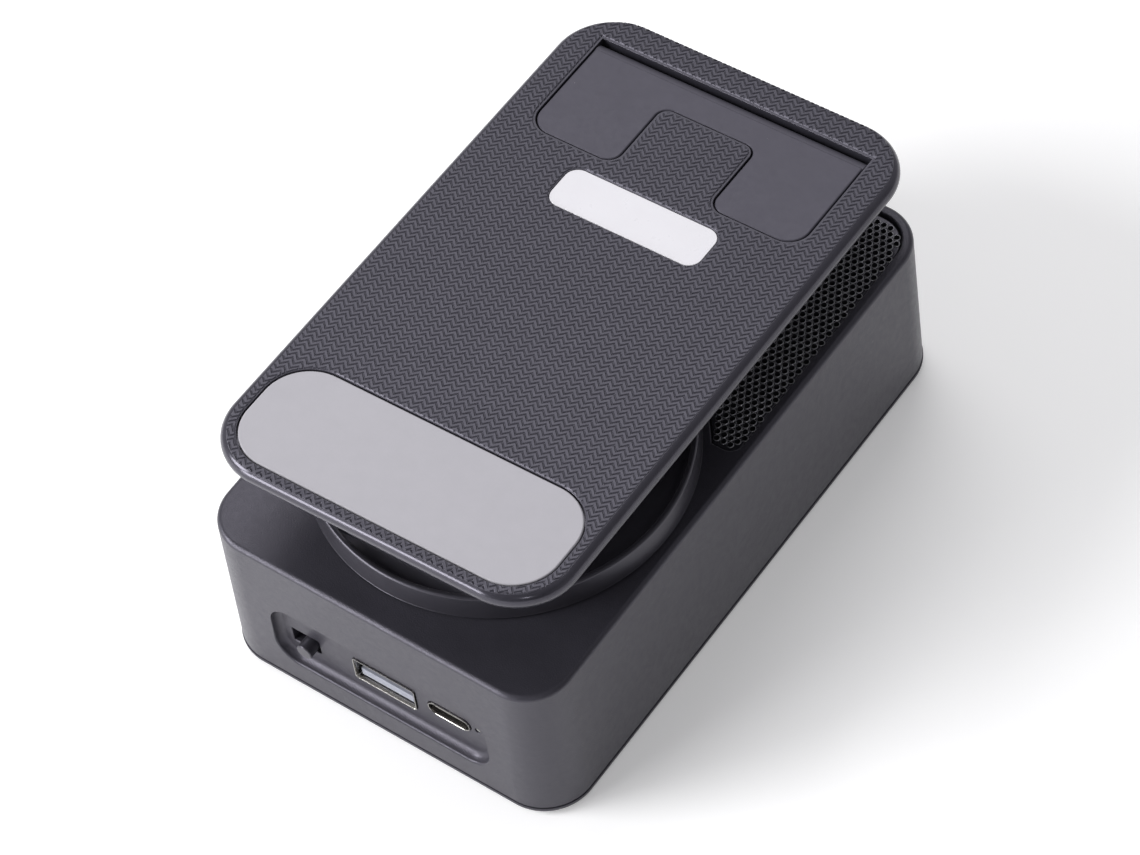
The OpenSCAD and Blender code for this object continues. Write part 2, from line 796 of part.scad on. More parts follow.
housing_shell();
bottom_cover();
bottom_screws();
base_mat();
speaker_grille();
grille_cloth();
speaker_frame();
speaker_surround();
speaker_cone();
dust_cap();
voice_coil();
magnet_top_plate();
ring_magnet();
pole_yoke();
speaker_screws();
battery_cell();
main_board();
board_screws();
radio_module();
amplifier_chip();
charger_chip();
usb_a_shell();
usb_a_tongue();
usb_c_shell();
usb_c_tongue();
switch_body();
switch_knob();
status_light();
battery_lead();
speaker_lead();
thrust_washer();
turntable_disc();
wave_washer();
retaining_plate();
retaining_screws();
lower_bracket();
lower_bracket_screws();
lower_hinge_pin();
lower_hinge_nut();
lower_friction_washers();
arm_frame();
arm_cover();
arm_screws();
upper_hinge_pin();
upper_hinge_nut();
upper_friction_washers();
upper_bracket();
upper_bracket_screws();
cradle_back();
cradle_front();
cradle_screws();
grip_pad();
label_plate();
phone_rest();
phone_rest_pin();
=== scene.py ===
"""Looks of a desktop speaker with a turntable and a folding phone cradle.

Lengths in the outlines and profiles are millimetres in a local frame. build() turns them
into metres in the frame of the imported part, and the local frames come from that part.
"""
import json
import math

import bmesh
import bpy
from mathutils import Matrix, Vector


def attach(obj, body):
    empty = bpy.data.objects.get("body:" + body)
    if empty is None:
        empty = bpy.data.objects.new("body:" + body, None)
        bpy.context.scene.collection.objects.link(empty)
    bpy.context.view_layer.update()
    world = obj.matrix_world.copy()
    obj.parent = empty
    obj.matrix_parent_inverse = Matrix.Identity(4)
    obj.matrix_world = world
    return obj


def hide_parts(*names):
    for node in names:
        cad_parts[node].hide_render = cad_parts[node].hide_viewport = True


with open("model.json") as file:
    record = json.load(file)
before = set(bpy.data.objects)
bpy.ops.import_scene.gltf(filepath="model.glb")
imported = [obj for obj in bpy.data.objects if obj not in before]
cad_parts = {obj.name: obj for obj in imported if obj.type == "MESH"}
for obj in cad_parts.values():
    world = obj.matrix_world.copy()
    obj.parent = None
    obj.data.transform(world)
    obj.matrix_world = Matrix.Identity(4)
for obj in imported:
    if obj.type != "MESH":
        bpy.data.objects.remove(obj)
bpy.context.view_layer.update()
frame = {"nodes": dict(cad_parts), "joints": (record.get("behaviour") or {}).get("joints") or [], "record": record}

MM = 0.001
NODES = frame["nodes"]
JOINTS = {j["name"]: j for j in frame["joints"]}
MOUNTS = {m["name"]: m for m in frame["record"]["mounts"]}

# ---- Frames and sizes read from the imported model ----


def axes_frame(origin, x_axis, z_axis):
    """Frame at origin whose Z is z_axis and whose X lies nearest x_axis."""
    z = Vector(z_axis).normalized()
    y = z.cross(Vector(x_axis)).normalized()
    x = y.cross(z)
    return Matrix.Translation(Vector(origin)) @ Matrix((x, y, z)).transposed().to_4x4()


def extent(node, place):
    """Lowest and highest corner of a CAD node in a local frame, in millimetres."""
    inverse = place.inverted()
    points = [inverse @ v.co / MM for v in NODES[node].data.vertices]
    low = Vector([min(p[i] for p in points) for i in range(3)])
    high = Vector([max(p[i] for p in points) for i in range(3)])
    return low, high


HINGE_AXIS = JOINTS["arm_lift"]["axis"]
SPIN = JOINTS["turntable_spin"]["pos_m"]
FACE = MOUNTS["phone_face"]
ROW = Matrix.Identity(4)
TABLE = axes_frame((SPIN[0], SPIN[1], 0), HINGE_AXIS, (0, 0, 1))
CRADLE = axes_frame(FACE["pos_m"], HINGE_AXIS, FACE["axis"])

shell_low, shell_high = extent("housing_shell", ROW)
BOX_W = shell_high.x - shell_low.x
BOX_L = shell_high.y - shell_low.y
BOX_H = shell_high.z
SEAM_Z = shell_low.z
BOX_R = 9.5
LEAN = 0.7  # how far each wall leans in from the seam to the roof
WALL = 2.2
ROOF_T = 2.4
CORNER_STEPS = 20
ROOF_Z = BOX_H - ROOF_T
CAVITY_W = BOX_W - 2 * (LEAN + WALL)
CAVITY_L = BOX_L - 2 * (LEAN + WALL)
CAVITY_R = BOX_R - WALL

# The port face: X to the right, Y up, Z out of the face
RECESS_W, RECESS_H, RECESS_R = 46.3, 15.4, 5
RECESS_Z = 15.1
RECESS_DEEP = 1.8
FACE_Y = -BOX_L / 2 + LEAN * (RECESS_Z - SEAM_Z) / (BOX_H - SEAM_Z)
PORTS = axes_frame((0, FACE_Y * MM, 0), (1, 0, 0), (0, -1, 0))
SWITCH_END_X = JOINTS["switch_slide"]["range_m"][0] / MM  # where the nub's travel ends, from rest


def middle(node):
    """Middle of a CAD node in the frame of the port face."""
    low, high = extent(node, PORTS)
    return (low + high) / 2


# ---- Outlines: closed counter-clockwise lists of points ----


def arc(cx, cy, r, start, end, steps=CORNER_STEPS):
    """Points of an arc, angles in degrees."""
    angles = [math.radians(start + (end - start) * i / steps) for i in range(steps + 1)]
    return [(cx + r * math.cos(a), cy + r * math.sin(a)) for a in angles]


def rounded(w, l, r, cx=0, cy=0, steps=CORNER_STEPS):
    """Rectangle with round corners."""
    x, y = w / 2 - r, l / 2 - r
    return (arc(cx + x, cy + y, r, 0, 90, steps) + arc(cx - x, cy + y, r, 90, 180, steps)
            + arc(cx - x, cy - y, r, 180, 270, steps) + arc(cx + x, cy - y, r, 270, 360, steps))


def ring(r, cx=0, cy=0, steps=24):
    """Circle as an outline."""
    return arc(cx, cy, r, 0, 360, steps)[:-1]


def inset(points, d):
    """The outline moved inwards by d, with mitred corners."""
    moved = []
    for i, (x, y) in enumerate(points):
        ax, ay = points[i - 1]
        bx, by = points[(i + 1) % len(points)]
        u = Vector((x - ax, y - ay)).normalized()
        v = Vector((bx - x, by - y)).normalized()
        n1, n2 = Vector((-u.y, u.x)), Vector((-v.y, v.x))
        step = (n1 + n2) * (d / (1 + n1.dot(n2)))
        moved.append((x + step.x, y + step.y))
    return moved


def without_repeats(points, gap=1e-4):
    """The outline without points that repeat the one before."""
    kept = []
    for p in points:
        if not kept or math.dist(p, kept[-1]) > gap:
            kept.append(p)
    if math.dist(kept[0], kept[-1]) <= gap:
        kept.pop()
    return kept


# ---- Solids ----


def link(name, data):
    """New object of the data, in the scene."""
    obj = bpy.data.objects.new(name, data)
    bpy.context.scene.collection.objects.link(obj)
    return obj


def build(name, verts, faces, place=ROW):
    """Object of a mesh from local millimetres."""
    mesh = bpy.data.meshes.new(name)
    mesh.from_pydata([place @ (Vector(v) * MM) for v in verts], [], faces)
    mesh.update()
    return link(name, mesh)


def loft_mesh(outline, profile, tube=False):
    """Corners and faces of a loft."""
    outline = without_repeats(outline)
    n, levels = len(outline), len(profile)
    verts = [(x, y, z) for d, z in profile for x, y in inset(outline, d)]
    faces = []
    for k in range(levels if tube else levels - 1):
        a, b = k * n, (k + 1) % levels * n
        faces += [(a + i, a + (i + 1) % n, b + (i + 1) % n, b + i) for i in range(n)]
    if not tube:
        faces += [tuple(reversed(range(n))), tuple((levels - 1) * n + i for i in range(n))]
    return verts, faces


def loft(name, outline, profile, place=ROW, tube=False):
    """Solid from an outline and its profile of (inset, z), from the bottom to the top.
    A tube's profile closes on itself, outside first."""
    return build(name, *loft_mesh(outline, profile, tube), place)


def repeat(name, outline, spots, profile, place=ROW):
    """The same loft at each (x, y) spot, as one mesh."""
    one, shape = loft_mesh(outline, profile)
    verts = [(x + cx, y + cy, z) for cx, cy in spots for x, y, z in one]
    faces = [tuple(i + copy * len(one) for i in face)
             for copy in range(len(spots)) for face in shape]
    return build(name, verts, faces, place)


def revolve(name, profile, place=ROW, steps=240):
    """Solid from a closed profile of (radius, z), anticlockwise with the axis on its left."""
    verts, rows = [], []
    for r, z in profile:
        if r < 1e-6:
            rows.append([len(verts)] * steps)
            verts.append((0, 0, z))
            continue
        rows.append([len(verts) + i for i in range(steps)])
        verts += [(r * math.cos(2 * math.pi * i / steps), r * math.sin(2 * math.pi * i / steps), z)
                  for i in range(steps)]
    faces = []
    for k, row in enumerate(rows):
        above = rows[(k + 1) % len(rows)]
        for i in range(steps):
            j = (i + 1) % steps
            corners = list(dict.fromkeys((row[i], row[j], above[j], above[i])))
            if len(corners) > 2:
                faces.append(tuple(corners))
    return build(name, verts, faces, place)


def join(name, objects):
    """One object of several solids that don't touch."""
    mesh = bmesh.new()
    for obj in objects:
        mesh.from_mesh(obj.data)
        bpy.data.objects.remove(obj)
    data = bpy.data.meshes.new(name)
    mesh.to_mesh(data)
    mesh.free()
    return link(name, data)


def combine(obj, tool, operation="DIFFERENCE"):
    """Cuts the tool solid from obj, adds it, or keeps only what both share."""
    modifier = obj.modifiers.new(operation, "BOOLEAN")
    modifier.object = tool
    modifier.operation = operation
    modifier.solver = "MANIFOLD"
    graph = bpy.context.evaluated_depsgraph_get()
    mesh = bpy.data.meshes.new_from_object(obj.evaluated_get(graph))
    obj.modifiers.clear()
    if not mesh.polygons:
        raise RuntimeError(f"the {operation} of {obj.name} and {tool.name} is empty")
    obj.data = mesh
    bpy.data.objects.remove(tool)
    return obj


def rise(r, top, steps=6, start=0.0, depth=None):
    """Profile of a rounded upper edge: r inwards and depth down, ending at the top."""
    depth = depth or abs(r)
    quarter = [math.pi / 2 * i / steps for i in range(steps + 1)]
    return [(start + r * (1 - math.cos(a)), top - depth + depth * math.sin(a)) for a in quarter]


def flare(r, top, steps=4, start=0.0):
    """Profile of a cutter that rounds the edge it leaves: r outwards, up to the top."""
    return rise(-r, top, steps, start)


def drop(r, bottom, steps=6, start=0.0, depth=None):
    """Profile of a rounded lower edge, starting at the bottom."""
    return [(d, 2 * bottom - z) for d, z in reversed(rise(r, bottom, steps, start, depth))]


# ---- Materials ----

NOISE_LOW, NOISE_HIGH = 0.3, 0.7  # the range that holds most of a noise texture's values


class Finish:
    """A procedural material with grain in its colour, roughness and surface."""

    def __init__(self, name, colour, roughness, **shader):
        self.material = bpy.data.materials.new(name)
        self.material.use_nodes = True
        self.tree = self.material.node_tree
        self.shader = self.tree.nodes["Principled BSDF"]
        self.colour = (*colour, 1)
        self.shader.inputs["Base Color"].default_value = self.colour
        self.shader.inputs["Roughness"].default_value = roughness
        for socket, value in shader.items():
            self.shader.inputs[socket.replace("_", " ")].default_value = value
        self.place = self.add("ShaderNodeTexCoord").outputs["Object"]
        self.surface = None

    def add(self, kind, **inputs):
        """New node; each input is a value or another node's socket."""
        node = self.tree.nodes.new(kind)
        for socket, value in inputs.items():
            self.feed(node.inputs[socket.replace("_", " ")], value)
        return node

    def feed(self, socket, value):
        if isinstance(value, bpy.types.NodeSocket):
            self.tree.links.new(value, socket)
        else:
            socket.default_value = value

    def noise(self, size_mm, detail=3.0):
        node = self.add("ShaderNodeTexNoise", Vector=self.place, Scale=1 / (size_mm * MM), Detail=detail)
        return node.outputs["Fac"]

    def ramp(self, value, stops):
        """Colour of a value between (position, colour) stops."""
        node = self.add("ShaderNodeValToRGB", Fac=value)
        elements = node.color_ramp.elements
        while len(elements) < len(stops):
            elements.new(0.5)
        for element, (position, colour) in zip(elements, stops):
            element.position = position
            element.color = colour
        return node.outputs["Color"]

    def shades(self, size_mm, spread):
        """Varies the base colour by a share up and down."""
        low = tuple(c * (1 - spread) for c in self.colour[:3]) + (1,)
        high = tuple(min(1, c * (1 + spread)) for c in self.colour[:3]) + (1,)
        mixed = self.ramp(self.noise(size_mm), [(NOISE_LOW, low), (NOISE_HIGH, high)])
        self.feed(self.shader.inputs["Base Color"], mixed)
        return self

    def sheen_spots(self, size_mm, low, high, detail=4.0):
        """Varies the roughness between two values."""
        node = self.add("ShaderNodeMapRange", Value=self.noise(size_mm, detail), To_Min=low, To_Max=high)
        node.inputs["From Min"].default_value = NOISE_LOW
        node.inputs["From Max"].default_value = NOISE_HIGH
        self.feed(self.shader.inputs["Roughness"], node.outputs["Result"])
        return self

    def bump(self, height, depth_mm, strength=1.0):
        """Adds a height pattern on top of the ones before it."""
        node = self.add("ShaderNodeBump", Height=height, Distance=depth_mm * MM, Strength=strength)
        if self.surface:
            self.feed(node.inputs["Normal"], self.surface)
        self.surface = node.outputs["Normal"]
        self.feed(self.shader.inputs["Normal"], self.surface)
        return self

    def grain(self, size_mm, depth_mm, strength=1.0):
        return self.bump(self.noise(size_mm, 2.0), depth_mm, strength)

    def brushed(self, stretch, size_mm, depth_mm):
        """Fine lines along one direction: stretch scales the pattern on X, Y and Z."""
        node = self.add("ShaderNodeVectorMath", Vector=self.place)
        node.operation = "MULTIPLY"
        node.inputs[1].default_value = stretch
        lines = self.add("ShaderNodeTexNoise", Vector=node.outputs["Vector"],
                         Scale=1 / (size_mm * MM), Detail=2.0)
        return self.bump(lines.outputs["Fac"], depth_mm, 0.5)

    def compare(self, value, operation, other):
        """Output of a Math node on a socket and a second value or socket."""
        node = self.add("ShaderNodeMath", Value=value)
        node.operation = operation
        self.feed(node.inputs[1], other)
        return node.outputs[0]

    def dust(self, cell_mm, dot_mm, share, colour):
        """Specks of dust in a share of the cells, lighter than the base colour."""
        cells = self.add("ShaderNodeTexVoronoi", Vector=self.place, Scale=1 / (cell_mm * MM))
        near = self.compare(cells.outputs["Distance"], "LESS_THAN", dot_mm / cell_mm)
        pick = self.add("ShaderNodeSeparateColor", Color=cells.outputs["Color"])
        chosen = self.compare(pick.outputs["Red"], "LESS_THAN", share)
        mix = self.add("ShaderNodeMix")
        mix.data_type = "RGBA"
        base = self.shader.inputs["Base Color"]
        self.feed(mix.inputs[0], self.compare(near, "MULTIPLY", chosen))
        # Sockets 6 and 7 are the A and B colours of a Mix node, and output 2 is its colour
        self.feed(mix.inputs[6], base.links[0].from_socket)
        self.feed(mix.inputs[7], (*colour, 1))
        self.feed(base, mix.outputs[2])
        return self


DARK = (0.028, 0.027, 0.034)
DUST = (0.45, 0.45, 0.46)
COOL = (1.0, 0.96, 1.14, 1.0)  # reflections of the dark plastic are slightly blue

FINISH = {
    "housing_shell": Finish("satin_housing", DARK, 0.38, Specular_Tint=COOL).shades(6, 0.06)
    .sheen_spots(1.2, 0.32, 0.40).grain(0.22, 0.05, 1.0).dust(2.6, 0.06, 0.10, DUST),
    "bottom_cover": Finish("satin_cover", (0.028, 0.027, 0.033), 0.42, Specular_Tint=COOL).shades(6, 0.06)
    .sheen_spots(1.2, 0.42, 0.5).grain(0.18, 0.015, 0.5),
    "base_mat": Finish("foot_rubber", (0.015, 0.015, 0.016), 0.8).shades(1.5, 0.15)
    .sheen_spots(0.8, 0.7, 0.9).grain(0.3, 0.05, 0.8),
    "speaker_grille": Finish("gloss_grille", (0.022, 0.022, 0.026), 0.3, Specular_Tint=COOL).shades(4, 0.08)
    .sheen_spots(0.8, 0.26, 0.34).grain(0.25, 0.006, 0.4),
    # The lips' light metallic colour is a painted highlight, standing in for the light their crests reflect
    "grille_lip": Finish("lip_painted_highlight", (0.40, 0.40, 0.425), 0.3, Metallic=0.8).shades(3, 0.1)
    .sheen_spots(0.8, 0.26, 0.34).grain(0.25, 0.004, 0.3),
    "grille_cloth": Finish("grille_cloth", (0.006, 0.006, 0.007), 0.95, Sheen_Weight=0.15)
    .shades(0.3, 0.4).sheen_spots(0.3, 0.9, 1.0).grain(0.12, 0.05),
    "turntable": Finish("satin_turntable", (0.026, 0.025, 0.031), 0.34, Specular_Tint=COOL).shades(5, 0.06)
    .sheen_spots(1.0, 0.30, 0.38).grain(0.2, 0.014, 0.6).dust(2.6, 0.06, 0.08, DUST),
    "arm": Finish("satin_arm", (0.028, 0.028, 0.031), 0.42).shades(4, 0.06)
    .sheen_spots(1.0, 0.38, 0.48).grain(0.2, 0.015, 0.5),
    "cradle": Finish("ribbed_cradle", (0.040, 0.039, 0.050), 0.38, Specular_Tint=COOL).shades(5, 0.05)
    .sheen_spots(0.9, 0.34, 0.42).grain(0.14, 0.010, 0.4).dust(2.2, 0.06, 0.12, DUST),
    "rim": Finish("gloss_rim", (0.030, 0.029, 0.037), 0.21, Specular_Tint=COOL).shades(5, 0.05)
    .sheen_spots(0.9, 0.19, 0.23).grain(0.3, 0.004, 0.3),
    "grip_pad": Finish("grip_silicone", (0.45, 0.44, 0.475), 0.75).shades(3, 0.015)
    .sheen_spots(0.5, 0.68, 0.82).grain(0.09, 0.015, 0.6).dust(5, 0.07, 0.2, (0.8, 0.8, 0.82)),
    "label_plate": Finish("gloss_label", (0.75, 0.74, 0.78), 0.3).shades(8, 0.01)
    .sheen_spots(1.5, 0.27, 0.33).grain(0.5, 0.001, 0.2),
    "phone_rest": Finish("satin_rest", (0.052, 0.050, 0.064), 0.46, Specular_Tint=COOL).shades(4, 0.05)
    .sheen_spots(1.0, 0.42, 0.52).grain(0.14, 0.010, 0.5).dust(2.6, 0.06, 0.12, DUST),
    "steel": Finish("bright_steel", (0.50, 0.50, 0.52), 0.34, Metallic=1.0).shades(1, 0.1)
    .sheen_spots(0.6, 0.28, 0.42).brushed((6, 1, 1), 0.3, 0.004),
    "driver_frame": Finish("driver_frame", (0.05, 0.05, 0.055), 0.5).shades(2, 0.1)
    .sheen_spots(0.8, 0.42, 0.58).grain(0.25, 0.02),
    "surround_rubber": Finish("surround_rubber", (0.012, 0.012, 0.012), 0.65).shades(1, 0.2)
    .sheen_spots(0.5, 0.55, 0.72).grain(0.2, 0.03),
    "paper_cone": Finish("paper_cone", (0.02, 0.02, 0.022), 0.8).shades(0.5, 0.4)
    .sheen_spots(0.4, 0.7, 0.9).grain(0.15, 0.06),
    "copper_coil": Finish("copper_coil", (0.72, 0.30, 0.14), 0.35, Metallic=1.0).shades(0.5, 0.15)
    .sheen_spots(0.3, 0.28, 0.42).brushed((0.2, 0.2, 8), 0.4, 0.02),
    "ferrite": Finish("ferrite", (0.035, 0.035, 0.04), 0.55).shades(0.7, 0.25)
    .sheen_spots(0.5, 0.45, 0.65).grain(0.2, 0.03),
    "cell_wrap": Finish("cell_wrap", (0.05, 0.17, 0.42), 0.3, Coat_Weight=0.3).shades(6, 0.06)
    .sheen_spots(2, 0.24, 0.36).grain(1.2, 0.03, 0.4),
    "circuit_board": Finish("circuit_board", (0.018, 0.12, 0.05), 0.4, Coat_Weight=0.2).shades(0.8, 0.35)
    .sheen_spots(0.6, 0.3, 0.5).grain(0.4, 0.02),
    "chip_plastic": Finish("chip_plastic", (0.02, 0.02, 0.021), 0.6).shades(0.4, 0.2)
    .sheen_spots(0.3, 0.5, 0.7).grain(0.12, 0.01),
    "socket_steel": Finish("plated_socket", (0.40, 0.39, 0.37), 0.26, Metallic=1.0).shades(0.6, 0.08)
    .sheen_spots(0.5, 0.16, 0.3).brushed((1, 6, 1), 0.25, 0.004),
    "socket_tongue": Finish("pale_tongue", (0.25, 0.26, 0.31), 0.45).shades(0.6, 0.08)
    .sheen_spots(0.4, 0.38, 0.52).grain(0.15, 0.008),
    "dark_tongue": Finish("small_tongue", (0.12, 0.11, 0.11), 0.45).shades(0.6, 0.08)
    .sheen_spots(0.4, 0.38, 0.52).grain(0.15, 0.008),
    "switch_plastic": Finish("switch_nub", (0.030, 0.029, 0.035), 0.3, Specular_Tint=COOL).shades(0.8, 0.06)
    .sheen_spots(0.5, 0.28, 0.33).grain(0.2, 0.003, 0.4),
    "light_pipe": Finish("light_pipe", (0.5, 0.5, 0.48), 0.2, Transmission_Weight=0.4).shades(0.6, 0.08)
    .sheen_spots(0.4, 0.15, 0.28).grain(0.3, 0.004),
    "wire_red": Finish("wire_sleeve", (0.45, 0.03, 0.03), 0.45).shades(0.6, 0.12)
    .sheen_spots(0.5, 0.38, 0.52).grain(0.3, 0.01),
    "nylon": Finish("nylon", (0.72, 0.70, 0.62), 0.5, Subsurface_Weight=0.05).shades(0.8, 0.05)
    .sheen_spots(0.5, 0.42, 0.58).grain(0.2, 0.008),
}


def smooth(obj, angle=32):
    """Smooth shading, broken at edges sharper than the angle."""
    obj.data.shade_smooth()
    obj.data.set_sharp_from_angle(angle=math.radians(angle))
    weighted = obj.modifiers.new("even_normals", "WEIGHTED_NORMAL")
    weighted.keep_sharp = True
    weighted.weight = 80
    return obj


def piece(obj, body, node, slot, angle=32):
    """Gives a finished solid its finish, body and CAD node."""
    obj.data.materials.clear()
    obj.data.materials.append(FINISH[slot].material)
    smooth(obj, angle)
    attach(obj, body)
    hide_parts(node)
    return obj


def second_finish(obj, slot, place, chosen):
    """Gives another finish to the faces whose height in a local frame is chosen."""
    obj.data.materials.append(FINISH[slot].material)
    inverse = place.inverted()
    for polygon in obj.data.polygons:
        if chosen((inverse @ polygon.center).z / MM):
            polygon.material_index = 1
    return obj


# ---- Box ----

GRILLE_LOW, GRILLE_HIGH = extent("speaker_grille", ROW)
GRILLE_GAP = 0.15
GRILLE_EDGE = 0.6  # least distance from a hole's centre to the panel's edge
HOLE_R = 0.54
LIP_R = 0.67
LIP_H = 0.15
MOAT = 1.4  # free ring of roof around the turntable
table_low, table_high = extent("turntable_disc", TABLE)
TABLE_R = table_high.x
TABLE_X, TABLE_Y = SPIN[0] / MM, SPIN[1] / MM
BOSS_X, BOSS_Y, BOSS_R = 29, 52.8, 3.2
BOSS_SPOTS = [(sx * BOSS_X, sy * BOSS_Y) for sx in (-1, 1) for sy in (-1, 1)]
BAFFLE_W, BAFFLE_L = 62, 41.6
DRIVER_HOLE_R = 17.6
BEARING_R = 9.05


def grille_outline():
    """Opening of the grille: far corners round, near edge cut by the turntable's moat."""
    x = GRILLE_HIGH.x + GRILLE_GAP
    far = GRILLE_HIGH.y + GRILLE_GAP
    near = GRILLE_LOW.y - GRILLE_GAP
    far_r, near_r = 6.4, 2.5
    moat_r = TABLE_R + MOAT
    cut = math.degrees(math.asin((near - TABLE_Y) / moat_r))
    return without_repeats(
        arc(x - near_r, near + near_r, near_r, 270, 360, 8)
        + arc(x - far_r, far - far_r, far_r, 0, 90)
        + arc(far_r - x, far - far_r, far_r, 90, 180)
        + arc(near_r - x, near + near_r, near_r, 180, 270, 8)
        + arc(0, TABLE_Y, moat_r, 180 - cut, cut, 72))


def cut_cavity(box, driver_y, baffle_z):
    """Hollows the box, leaving the port wall, the driver's baffle and the screw bosses."""
    cavity = loft("cavity", rounded(CAVITY_W, CAVITY_L, CAVITY_R), [(0, SEAM_Z - 1), (0, ROOF_Z)])
    near_y = -CAVITY_L / 2
    port_wall_t = FACE_Y + 2 * RECESS_DEEP - near_y
    port_wall_h = RECESS_H + 3.4
    combine(cavity, loft("port_wall", rounded(RECESS_W + 3, 2 * port_wall_t, 0.3, 0, near_y, 2),
                         [(0, RECESS_Z - port_wall_h / 2), (0, RECESS_Z + port_wall_h / 2)]))
    combine(cavity, loft("baffle", rounded(BAFFLE_W, BAFFLE_L, 0.3, 0, driver_y, 2),
                         [(0, baffle_z), (0, ROOF_Z + 1)]))
    combine(cavity, repeat("bosses", ring(BOSS_R), BOSS_SPOTS, [(0, 3.6), (0, ROOF_Z + 1)]))
    combine(box, cavity)


def cut_ports(box):
    """Cuts the recess of the port face and the openings in its floor."""
    combine(box, loft("recess", rounded(RECESS_W, RECESS_H, RECESS_R, 0, RECESS_Z, 24),
                      [(1.5, -RECESS_DEEP), (1.15, -1.74), (0.8, -1.55), (0.5, -1.25), (0.28, -0.85)]
                      + flare(0.42, 0.04, 6, 0.16) + [(-0.3, 1.2)], PORTS))
    usb_a, usb_c, knob = middle("usb_a_shell"), middle("usb_c_shell"), middle("switch_knob")
    light = middle("status_light")
    openings = [("usb_a_cut", rounded(13.36, 5.96, 0.6, 0, usb_a.y, 6)),
                ("usb_c_cut", rounded(9.16, 3.42, 1.7, usb_c.x, usb_c.y, 12)),
                ("switch_cut", rounded(6, 3.8, 0.35, knob.x + SWITCH_END_X / 2, knob.y, 6)),
                ("light_cut", ring(0.6, light.x, light.y, 20))]
    floor, bevel = -RECESS_DEEP, 0.12
    for name, outline in openings:
        combine(box, loft(name, outline, [(0, -6.5), (0, floor - 0.1), (-bevel, floor + 0.02),
                                          (-bevel, floor + 0.3)], PORTS))


def make_housing():
    """Leaning walls with a rounded top edge and a groove at the seam."""
    box = loft("housing", rounded(BOX_W, BOX_L, BOX_R, steps=32),
               [(0.5, SEAM_Z), (0.5, SEAM_Z + 0.08), (0.14, SEAM_Z + 0.14), (0.12, SEAM_Z + 0.5)]
               + rise(1.0, BOX_H, 10, LEAN))
    driver_low, driver_high = extent("speaker_frame", ROW)
    driver_y = (driver_low.y + driver_high.y) / 2
    baffle_z = driver_high.z
    cut_cavity(box, driver_y, baffle_z)
    cut_ports(box)
    combine(box, loft("grille_pocket", grille_outline(),
                      [(0, GRILLE_LOW.z - 0.2)] + flare(0.3, BOX_H + 0.002, 5) + [(-0.3, BOX_H + 1)]))
    combine(box, loft("driver_hole", ring(DRIVER_HOLE_R, 0, driver_y, 96),
                      [(0, baffle_z - 1), (0, BOX_H + 1)]))
    combine(box, loft("bearing", ring(BEARING_R, TABLE_X, TABLE_Y, 96), [(0, ROOF_Z - 2), (0, BOX_H + 1)]))
    combine(box, repeat("screw_bores", ring(1), BOSS_SPOTS, [(0, 2), (0, 14)]))
    return piece(box, "base", "housing_shell", "housing_shell", 28)


def make_bottom_cover():
    """Cover with a lip inside the walls and a seat for the foot mat."""
    cover_z = extent("bottom_cover", ROW)[0].z
    plate = loft("bottom_cover_panel", rounded(BOX_W, BOX_L, BOX_R, steps=32), drop(0.9, cover_z, 8)
                 + [(0, SEAM_Z - 0.14), (0.04, SEAM_Z - 0.06), (0.3, SEAM_Z - 0.05)])
    combine(plate, loft("cover_lip", rounded(CAVITY_W - 0.2, CAVITY_L - 0.2, CAVITY_R - 0.1),
                        [(0, SEAM_Z - 0.4), (0, 3.4)]), "UNION")
    combine(plate, loft("cover_hollow", rounded(CAVITY_W - 3.4, CAVITY_L - 3.4, CAVITY_R - 1.7),
                        [(0, 2.6), (0, 5)]))
    mat = extent("base_mat", ROW)[1]
    combine(plate, loft("mat_seat", rounded(mat.x * 2 + 0.2, mat.y * 2 + 0.2, 5.1),
                        [(-0.3, cover_z - 1), (-0.3, cover_z), (0, cover_z + 0.2), (0, mat.z)]))
    return piece(plate, "base", "bottom_cover", "bottom_cover", 28)


def make_base_mat():
    """Foot mat with three grooves around its underside."""
    low, high = extent("base_mat", ROW)
    w, l = high.x * 2, high.y * 2
    mat = loft("foot_mat", rounded(w, l, 5), drop(0.25, low.z, 4) + [(0, high.z)])
    grooves = [loft("groove", rounded(w - 4 - 2.6 * k, l - 4 - 2.6 * k, 4 - 0.6 * k),
                    [(0, -1), (0, 0.22), (0.5, 0.22), (0.5, -1)], tube=True) for k in range(3)]
    combine(mat, join("grooves", grooves))
    return piece(mat, "base", "base_mat", "base_mat")


# ---- Grille ----


def inside(point, outline):
    """Whether the outline encloses the point."""
    x, y = point
    crossed = False
    for i, (ax, ay) in enumerate(outline):
        bx, by = outline[i - 1]
        if (ay > y) != (by > y) and x < ax + (y - ay) / (by - ay) * (bx - ax):
            crossed = not crossed
    return crossed


def hole_spots(region):
    """Columns of holes on an even hexagonal lattice, every other one half a pitch along."""
    edge_x, column_gap, pitch, start_y = 33.4, 0.695, 2.38, 2.5
    columns = int(2 * edge_x / column_gap) + 1
    rows = int((GRILLE_HIGH.y - start_y) / pitch) + 1
    lattice = [(edge_x - column_gap * k, start_y + pitch * (j + (k % 2) / 2))
               for k in range(columns) for j in range(rows)]
    return [spot for spot in lattice if inside(spot, region)]


